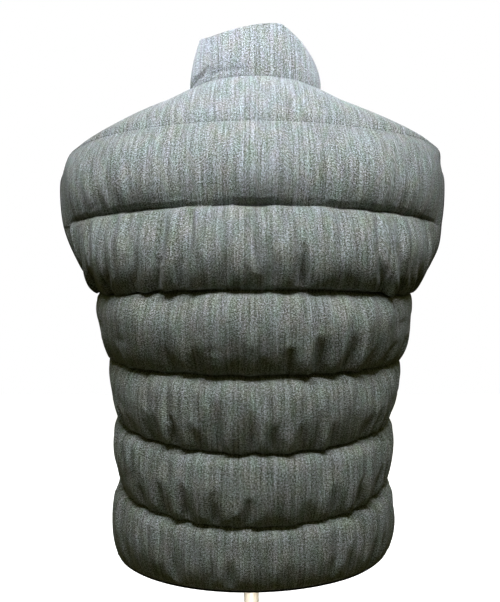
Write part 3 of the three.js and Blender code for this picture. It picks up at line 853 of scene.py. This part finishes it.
def sew_collar():
    seam, stand = neck_line()
    far = lengths_along(seam)
    places, wanted = far / far[-1], np.linspace(0, 1, COLLAR_COLUMNS)
    degrees = 180 - 360 * np.interp(wanted, places, np.linspace(0, 1, len(seam)))
    seam, stand = spread(seam, places, wanted), unit(spread(stand, places, wanted))
    from_zip = np.minimum(np.arange(COLLAR_COLUMNS), np.arange(COLLAR_COLUMNS)[::-1])
    share = (np.arange(COLLAR_ROWS + 1) / COLLAR_ROWS)[:, None]
    reach_x, reach_y, top = np.moveaxis(through(COLLAR_TOP)(degrees), -1, 0) * MM
    turn = np.radians(degrees)
    upper = np.stack([np.sin(turn) * reach_x + VEST_SHIFT, np.cos(turn) * reach_y, top], -1)
    round_neck = smooth(from_zip / ZIP_TURN)[:, None]
    level = np.stack([np.sin(turn), np.cos(turn), 0 * turn], -1)
    level = unit(level * round_neck + np.array((0, -1, 0)) * (1 - round_neck))
    upper[[0, -1], 0] = seam[[0, -1], 0]
    low = seam + np.array((0, 0, COLLAR_GAP))
    middle = low[None] + (upper - low)[None] * share[..., None]
    lean = ((1 - share) ** 4)[..., None]
    away = unit(level[None] * (1 - lean) + stand[None] * lean)
    from_fold = np.abs(share - FOLD_WIDE - (FOLD_START - degrees) * FOLD_CLIMB) / FOLD_WIDE
    fold = FOLD_DEEP * smooth(1.4 - from_fold)
    fold *= beyond(degrees, FOLD_END, 12) * beyond(degrees, FOLD_START + 20, -14)
    puff = np.sin(0.93 * math.pi * share) ** 0.7 * smooth(from_zip / ZIP_PUFF)
    half = (WALL / 2 + COLLAR_PUFF * puff)[..., None]
    outer = middle + away * (half - np.minimum(fold[..., None], 2 * half - COLLAR_LEAST))
    band = np.concatenate([outer, (middle - away * half)[::-1]])
    inner = np.concatenate([middle, middle[::-1]])
    held = np.zeros(band.shape[:2], bool)
    held[[0, -1]] = True
    held[:, [0, -1]] = True
    cloth = band, grid_faces(*held.shape), held, 1.0 - held
    band = inflate("collar", *cloth, growth=0.006, pressure=15.0, cap=3 * MM)
    grid = with_rim(finer(band), finer(inner))
    mesh = mesh_of("collar_shell", grid, grid_faces(*grid.shape[:2]))
    flat = finer(cut_map(band, band, COLLAR_COLUMNS // 2))
    set_cut(mesh, with_rim(flat, flat))
    shell = add_piece("collar_shell", mesh, WOOL, ["collar"])
    return middle


collar_middle = sew_collar()

# ---- bindings

BINDING_SECTION = round_section(1.6 * MM, 1.68 * MM, 12)
BINDING_SEAT = 0.9 * MM  # from the edge to the middle of the binding


def binding_frames(seam, away, towards, closed):
    """Frames of a binding just past an edge, on the side of it that towards points to."""
    along = np.roll(seam, -1, 0) - np.roll(seam, 1, 0) if closed else np.gradient(seam, axis=0)
    side = unit(np.cross(along, away))
    side *= np.sign((side * towards).sum(-1, keepdims=True))
    if closed:
        side = unit(sum(np.roll(side, k, 0) for k in range(-3, 4)))
    up = unit(np.cross(along, side))
    up *= np.sign((up * away).sum(-1, keepdims=True))
    return seam + side * BINDING_SEAT, side, up


def bind_armhole(node, back_column, front, front_column):
    first = 2 * sum(ROWS_PER_BAFFLE[:UNDERARM])
    seam, away = (
        np.concatenate([behind[first:, back_column], before[first + 1 : -1, front_column][::-1]])
        for behind, before in ((back.fine_seam, front.fine_seam), (back.fine_away, front.fine_away))
    )
    frames = binding_frames(seam, away, seam.mean(0) - seam, True)
    add_solid(node + "_strip", swept(frames, BINDING_SECTION, True), BINDING_CLOTH, [node])


bind_armhole("armhole_binding_left", 0, left, -1)
bind_armhole("armhole_binding_right", -1, right, 0)

hem_seam = np.concatenate([left.fine_seam[0, :-1], back.fine_seam[0], right.fine_seam[0, 1:]])
hem_away = np.concatenate([left.fine_away[0, :-1], back.fine_away[0], right.fine_away[0, 1:]])
hem_frames = binding_frames(hem_seam, hem_away, np.array((0, 0, -1.0)), False)
hem_strip = swept(hem_frames, BINDING_SECTION)
add_solid("hem_binding_strip", hem_strip, BINDING_CLOTH, ["hem_binding"])

# ---- stitching

STITCH = 3.2 * MM
STITCH_PITCH = 4.1 * MM
THREAD_RADIUS = 0.3 * MM
STITCH_LIFT = 0.25 * MM  # how far a stitch's middle lies above the cloth


def stitches(line, away):
    """Separate stitches along a line on the cloth: each dips into it at both ends."""
    far = lengths_along(line)
    count = int(far[-1] / STITCH_PITCH)
    middles = (np.arange(count) + 0.5) * far[-1] / count
    parts = []
    bend = np.linspace(-1, 1, 5)
    for middle in middles:
        at = middle + bend * STITCH / 2
        points, out = spread(line, far, at), unit(spread(away, far, at))
        points = points + out * (STITCH_LIFT - bend**2 * THREAD_RADIUS * 2.2)[:, None]
        side = unit(np.cross(np.gradient(points, axis=0), out))
        parts.append(swept((points, side, out), round_section(THREAD_RADIUS, THREAD_RADIUS, 6)))
    return joined(parts)


line_rows = 2 * np.cumsum(ROWS_PER_BAFFLE)[:-1]
for cut, name in ((back, "back"), (left, "front_left"), (right, "front_right")):
    seams = [stitches(cut.fine_shell[row], cut.fine_away[row]) for row in line_rows]
    add_solid(name + "_quilting", joined(seams), THREAD)

# ---- zip

TAPE_HALF, TAPE_THICK, TAPE_MIDDLE = 2.2 * MM, 1.2 * MM, 5.5 * MM
TAPE_CORNER, TAPE_START, TAPE_STEP = 0.4 * MM, 1 * MM, 4 * MM
TOOTH_PITCH = 1.5 * MM
TOOTH_ASIDE = 0.95 * MM  # from the zip's middle to the middle of a tooth
TOOTH_HALF_WIDE, TOOTH_HALF_THICK, TOOTH_CORNER = 1.9 * MM, 1.35 * MM, 0.5 * MM
TOOTH_RINGS = np.array((-0.62, -0.45, 0.45, 0.62)) * MM
TOOTH_END = 0.86  # how large the outer rings are beside the inner ones
ZIP_TOP = 13 * MM  # the slider's lower end, below the collar's upper edge
SLIDER_TALL, SLIDER_POST, SEAM_GAP = 11 * MM, 3 * MM, 0.3 * MM
BOX_TALL = 9 * MM

zip_line = np.concatenate([left.fine_seam[:, 0], collar_middle[1:, 0]])
zip_line[:, 0] = VEST_SHIFT
zip_far = lengths_along(zip_line)
teeth_top = zip_far[-1] - ZIP_TOP + SLIDER_TALL - SLIDER_POST - SEAM_GAP


def zip_frames(at, offset):
    """Frames up the zip at the given lengths, to one side of its middle by offset."""
    points = spread(zip_line, zip_far, at)
    along = unit(spread(zip_line, zip_far, at + 2 * MM) - spread(zip_line, zip_far, at - 2 * MM))
    points[:, 0] += offset
    side = np.broadcast_to(np.array((1.0, 0, 0)), points.shape)
    up = np.stack([0 * at, -along[:, 2], along[:, 1]], -1)
    return points, side, up


def rounded_bar(half_wide, half_thick, corner):
    """The section of a bar with three points round each corner."""
    turn = np.radians(np.array((15, 45, 75)))
    quarter = np.stack([np.cos(turn), np.sin(turn)], -1) * corner
    inner = np.array((half_wide - corner, half_thick - corner))
    signs = ((1, 1), (-1, 1), (-1, -1), (1, -1))
    return np.concatenate([(quarter[:: 1 if sx * sy > 0 else -1] + inner) * (sx, sy) for sx, sy in signs])


for hand, side in (("left", 1), ("right", -1)):
    tape_frames = zip_frames(np.arange(TAPE_START, teeth_top, TAPE_STEP), side * TAPE_MIDDLE)
    tape = swept(tape_frames, rounded_bar(TAPE_HALF, TAPE_THICK / 2, TAPE_CORNER))
    add_solid(f"zip_tape_{hand}_cloth", tape, ZIP_TAPE, [f"zip_tape_{hand}"])


def zip_teeth():
    """Teeth by turns on both tapes: rounded bars with smaller ends."""
    parts = []
    at = np.arange(BOX_TALL + 2 * SEAM_GAP, teeth_top - TOOTH_PITCH, TOOTH_PITCH)
    middle, side, up = zip_frames(at, 0.0)
    along = np.cross(side, up)
    outline = rounded_bar(TOOTH_HALF_WIDE, TOOTH_HALF_THICK, TOOTH_CORNER)
    rings = len(TOOTH_RINGS)
    for i in range(len(at)):
        aside = TOOTH_ASIDE if i % 2 else -TOOTH_ASIDE
        points = middle[i] + side[i] * aside + along[i] * TOOTH_RINGS[:, None]
        ring = np.broadcast_to(side[i], (rings, 3)), np.broadcast_to(up[i], (rings, 3))
        solid, faces = swept((points, *ring), outline)
        solid = solid.reshape(rings, -1, 3)
        for end in (0, -1):
            solid[end] = points[end] + (solid[end] - points[end]) * TOOTH_END
        parts.append((solid.reshape(-1, 3), faces))
    return joined(parts)


add_solid("zip_teeth_row", zip_teeth(), METAL, ["zip_teeth"])


FLAT_TURN, SHARP_TURN = math.radians(3), math.radians(40)


def soften(node, body, width):
    """The node's own shape with its sharp edges rounded."""
    shape = bmesh.new()
    shape.from_mesh(bpy.data.objects[node].data)
    bmesh.ops.remove_doubles(shape, verts=shape.verts, dist=1e-6)
    bmesh.ops.dissolve_limit(shape, angle_limit=FLAT_TURN, verts=shape.verts, edges=shape.edges)
    sharp = [e for e in shape.edges if len(e.link_faces) == 2 and e.calc_face_angle() > SHARP_TURN]
    rounding = {"offset": width, "segments": 3, "profile": 0.6, "affect": "EDGES", "clamp_overlap": True}
    bmesh.ops.bevel(shape, geom=sharp, **rounding)
    mesh = bpy.data.meshes.new(node + "_cast")
    shape.to_mesh(mesh)
    shape.free()
    add_piece(node + "_cast", mesh, METAL, [node], body)


soften("zip_box", "vest", 0.5 * MM)
soften("zip_slider", "vest", 0.45 * MM)
soften("zip_bridge", "vest", 0.35 * MM)
soften("zip_pull", "zip_pull", 0.3 * MM)

# ---- dress form and stand

# Height, half width, and the reach behind and in front, in millimetres.
FORM_RINGS = (
    (282, 144, 98, 98),
    (300, 150, 103, 103),
    (345, 151, 103, 104),
    (400, 150, 102, 104),
    (480, 160, 106, 107),
    (570, 178, 115, 114),
    (625, 193, 117, 112),
    (670, 206, 113, 106),
    (705, 211, 107, 95),
    (729, 208, 101, 86),
    (748, 190, 95, 76),
    (769, 157, 86, 64),
    (788.4, 122, 75, 54),
    (803, 95, 64, 49),
    (813, 76, 56, 46),
    (826, 60, 50, 44),
    (846, 53, 46, 42),
    (858, 49, 43, 39),
    (864, 40, 35, 31),
)
ARM_PLATE = 204 * MM  # from the middle to the flat end of each arm
FORM_COLUMNS = 120


def dress_form():
    low, brow, high = (FORM_RINGS[i][0] for i in (0, -2, -1))
    heights = np.concatenate([np.linspace(low, brow, 97), np.linspace(brow, high, 5)[1:]])
    half, behind, before = np.moveaxis(through(FORM_RINGS)(heights), -1, 0) * MM
    turn = 2 * math.pi * np.arange(FORM_COLUMNS) / FORM_COLUMNS
    reach = np.where(np.cos(turn) > 0, behind[:, None], before[:, None])
    x = np.clip(half[:, None] * np.sin(turn), -ARM_PLATE, ARM_PLATE)
    z = np.broadcast_to(heights[:, None] * MM, reach.shape)
    points = np.stack([x, reach * np.cos(turn), z], -1)
    add_solid("dress_form_cover", skinned(points), LINEN, ["dress_form"])


dress_form()


def turned_wood(node, profile, sides):
    add_solid(node + "_wood", turned(np.array(profile) * MM, sides), WOOD, [node])


# In millimetres: the pole stands just off the base and the form, and both ends are chamfered.
POLE_RADIUS, POLE_LOW, POLE_HIGH = 9.5, 18.3, 281.7
BASE_RADIUS, BASE_TALL, BASE_ROUND = 140, 18, 5

pole_profile = [(0, POLE_LOW), (POLE_RADIUS - 0.3, POLE_LOW), (POLE_RADIUS, POLE_LOW + 0.4)]
pole_profile += [(POLE_RADIUS, POLE_HIGH - 0.4), (POLE_RADIUS - 0.3, POLE_HIGH), (0, POLE_HIGH)]
turned_wood("stand_pole", pole_profile, 64)
round_x, round_z = BASE_RADIUS - BASE_ROUND, BASE_TALL - BASE_ROUND
base_profile = [(0, 0), (BASE_RADIUS - 1.5, 0), (BASE_RADIUS, 1.2), (BASE_RADIUS, round_z)]
for t in np.radians((15, 30, 45, 60, 75, 90)):
    base_profile.append((round_x + BASE_ROUND * math.cos(t), round_z + BASE_ROUND * math.sin(t)))
base_profile += [(20, BASE_TALL), (0, BASE_TALL)]
turned_wood("stand_base", base_profile, 128)

# ---- light and floor

FLOOR_REACH = 3.0
floor_corners = [(x * FLOOR_REACH, y * FLOOR_REACH, 0) for x, y in ((-1, -1), (1, -1), (1, 1), (-1, 1))]
floor = bpy.data.objects.new("floor", mesh_of("floor", floor_corners, [(0, 1, 2, 3)]))
bpy.context.scene.collection.objects.link(floor)
white = {"Base_Color": (0.9, 0.9, 0.9, 1), "Emission_Color": (1, 1, 1, 1), "Emission_Strength": 0.93}
floor.data.materials.append(Graph("floor", Roughness=0.9, **white).material)
floor.visible_diffuse = False
floor.visible_glossy = False

# Name, place, aim, width and height, power, colour, and spread in degrees.
LAMPS = (
    ("key", (0, 0.53, 1.2), (0, 0.1, 0.6), (0.8, 0.16), 9.0, (0.95, 0.985, 1.11), 180),
    ("top", (0, 0.3, 1.75), (0, 0.05, 0.6), (1.0, 0.5), 4.2, (0.83, 0.94, 1.45), 180),
    ("collar", (0, 0.75, 1.05), (0, 0.05, 0.9), (0.2, 0.2), 0.25, (0.93, 0.95, 1.4), 40),
    ("collar_left", (0.75, 0.25, 1.15), (0.07, 0.0, 0.88), (0.1, 0.1), 0.1, (0.95, 0.97, 1.25), 14),
    ("collar_right", (-0.75, 0.25, 1.05), (-0.08, 0.0, 0.86), (0.1, 0.1), 0.07, (0.95, 0.97, 1.25), 14),
    ("front", (0, -1.0, 1.75), (0, 0, 0.5), (1.0, 0.5), 22.0, (0.96, 0.98, 1.0), 180),
    ("low", (0, 0.8, 0.06), (0, 0, 0.13), (0.1, 0.1), 0.13, (1.0, 0.97, 0.93), 14),
)


def hang_lamp(name, place, aim, size, power, colour, spread_degrees):
    data = bpy.data.lights.new(name, "AREA")
    data.shape = "RECTANGLE"
    data.size, data.size_y = size
    data.energy = power
    data.color = colour
    data.spread = math.radians(spread_degrees)
    lamp = bpy.data.objects.new(name, data)
    lamp.location = place
    lamp.rotation_euler = (Vector(aim) - Vector(place)).to_track_quat("-Z", "Y").to_euler()
    bpy.context.scene.collection.objects.link(lamp)


def white_room():
    """White to the camera; for light, a dim room that is darker below."""
    world = bpy.data.worlds.new("studio")
    bpy.context.scene.world = world
    world.use_nodes = True
    tree = world.node_tree
    tree.nodes.clear()
    kinds = "Background Background TexCoord SeparateXYZ MapRange Mix LightPath MixShader OutputWorld".split()
    made = [tree.nodes.new("ShaderNode" + kind) for kind in kinds]
    shown, lit, where, axes, height, shade, rays, both, out = made
    shown.inputs["Color"].default_value = (1, 1, 1, 1)
    height.interpolation_type = "SMOOTHSTEP"
    height.inputs["From Min"].default_value = -0.15
    height.inputs["From Max"].default_value = 0.4
    shade.data_type = "RGBA"
    below, above = (socket for socket in shade.inputs if socket.type == "RGBA")
    below.default_value = (0.03, 0.028, 0.012, 1)
    above.default_value = (0.155, 0.152, 0.06, 1)
    mixed = next(socket for socket in shade.outputs if socket.type == "RGBA")
    for start, end in (
        (where.outputs["Generated"], axes.inputs["Vector"]),
        (axes.outputs["Z"], height.inputs["Value"]),
        (height.outputs["Result"], shade.inputs["Factor"]),
        (mixed, lit.inputs["Color"]),
        (rays.outputs["Is Camera Ray"], both.inputs["Fac"]),
        (lit.outputs["Background"], both.inputs[1]),
        (shown.outputs["Background"], both.inputs[2]),
        (both.outputs["Shader"], out.inputs["Surface"]),
    ):
        tree.links.new(start, end)


for lamp_row in LAMPS:
    hang_lamp(*lamp_row)
white_room()
bpy.context.scene.view_settings.view_transform = "Standard"
